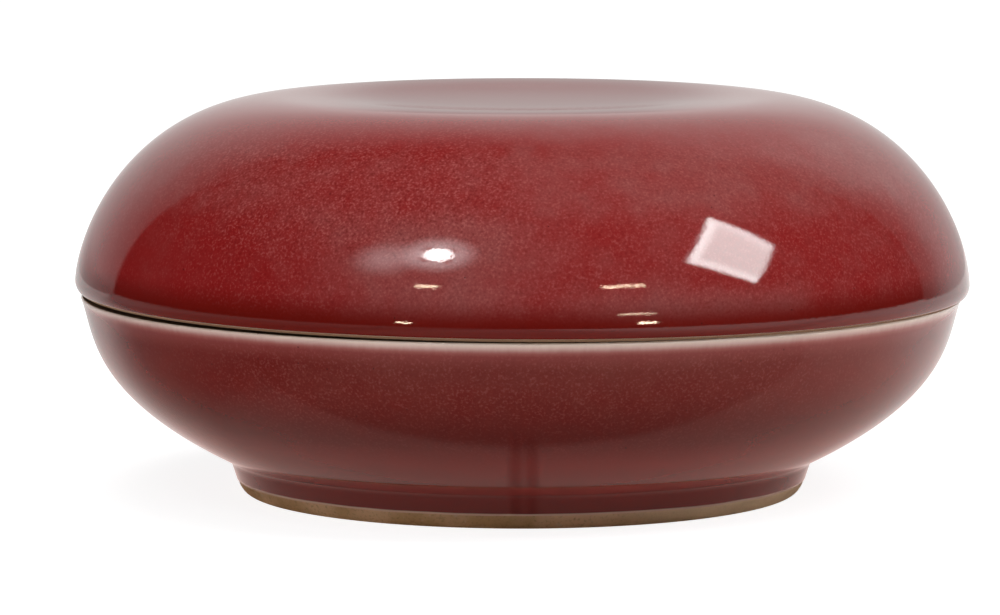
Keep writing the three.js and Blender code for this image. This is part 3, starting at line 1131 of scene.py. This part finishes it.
hot = glowing("hot_glow", round_glows(HOT_GLOWS, (1.0, 0.99, 0.98, 1.0)), "UV")
cloth = glowing("umbrella_glow", round_glows(UMBRELLA_GLOWS, (1.0, 0.97, 0.98, 1.0)), "UV")
lamp_sheet("hot_lamp", hot, facing(HOT_MIDDLE, HOT_SIZE, HOT_SIZE))
lamp_sheet("umbrella", cloth, facing(UMBRELLA_MIDDLE, UMBRELLA_SIZE, UMBRELLA_SIZE))
warm = glowing("small_lamp_glow", even(SMALL_LIGHT, WARM))
SMALL_LAMPS = {  # middle, width and height
    "small_lamp_left": ((-0.485, -1.058, 0.648), 0.13, 0.012),
    "small_lamp_right": ((0.514, -1.047, 0.643), 0.22, 0.012),
    "low_lamp_left": ((-0.617, -1.158, 0.147), 0.08, 0.02),
    "low_lamp_right": ((0.665, -1.150, 0.158), 0.09, 0.03),
    "row_of_lamps_right": ((0.620, -1.180, 0.305), 0.20, 0.006),
}
for name, (middle, width, height) in SMALL_LAMPS.items():
    lamp_sheet(name, warm, facing(middle, width, height))
print("small lamps:", len(SMALL_LAMPS))

# %% [markdown]
# ## Light on the pot
#
# The light that colours the pot comes from large soft lamps that the glaze does not mirror, and from a dim
# even world that fills the shade. The white table throws some of it back up under the belly.

# %% Soft lamps
SOFT_LAMPS = {  # place, size and watts
    "overhead": ((0.0, -0.2, 1.8), 1.2, 17.6),
    "right_light": ((0.84, -0.44, 0.96), 0.5, 6.6),
    "front_light": ((-0.4, -0.86, 0.94), 0.5, 2.8),
    "left_light": ((-1.1, -0.4, 0.14), 0.6, 2.0),
}
POT_MIDDLE = Vector((0.0, 0.0, 0.05))


def aimed(name, data, place, aim):
    """A lamp or a camera at one place, looking at another."""
    thing = placed(name, data)
    thing.location = place
    thing.rotation_euler = (aim - thing.location).to_track_quat("-Z", "Y").to_euler()
    return thing


for name, (place, size, watts) in SOFT_LAMPS.items():
    light = bpy.data.lights.new(name, "AREA")
    light.energy = watts
    light.size = size
    lamp = aimed(name, light, place, POT_MIDDLE)
    lamp.visible_glossy = False
    lamp.visible_camera = False
print("soft lamps:", sorted(SOFT_LAMPS))

# %% World
FILL_LIGHT = 0.05

world = bpy.data.worlds.new("studio")
scene.world = world
world.use_nodes = True
world.node_tree.nodes.clear()
recipe = Recipe(world.node_tree)
strength = recipe.ease(seen_directly(recipe), 0.0, 1.0, FILL_LIGHT, 1.0)
room = recipe.node("ShaderNodeBackground", {"Color": NEUTRAL, "Strength": strength})
recipe.node("ShaderNodeOutputWorld", {"Surface": room.outputs[0]})
print("world fill", FILL_LIGHT)

# %% [markdown]
# ## The camera
#
# The camera stands a metre and a half in front and a little above, with a long lens. It is aimed a few
# millimetres beside the axis, so that the pot lies in the picture as it does in the photograph.

# %% Camera
CAMERA_PLACE = Vector((0.0, -1.5, 0.2161))
CAMERA_AIM = Vector((-0.00565, 0.0, 0.0491))
CAMERA_LENS = 201.85  # millimetres, as is the sensor's width
SENSOR_WIDTH = 36.0

camera_data = bpy.data.cameras.new("camera")
camera_data.sensor_width = SENSOR_WIDTH
camera_data.lens = CAMERA_LENS
camera = aimed("camera", camera_data, CAMERA_PLACE, CAMERA_AIM)
scene.camera = camera
print(f"camera {-camera.location.y:.1f} m in front")

# %% [markdown]
# ## A last update
#
# The view layer is updated once more. The visual model keeps to the size of the frame within half a
# millimetre.

# %% Finish
bpy.context.view_layer.update()
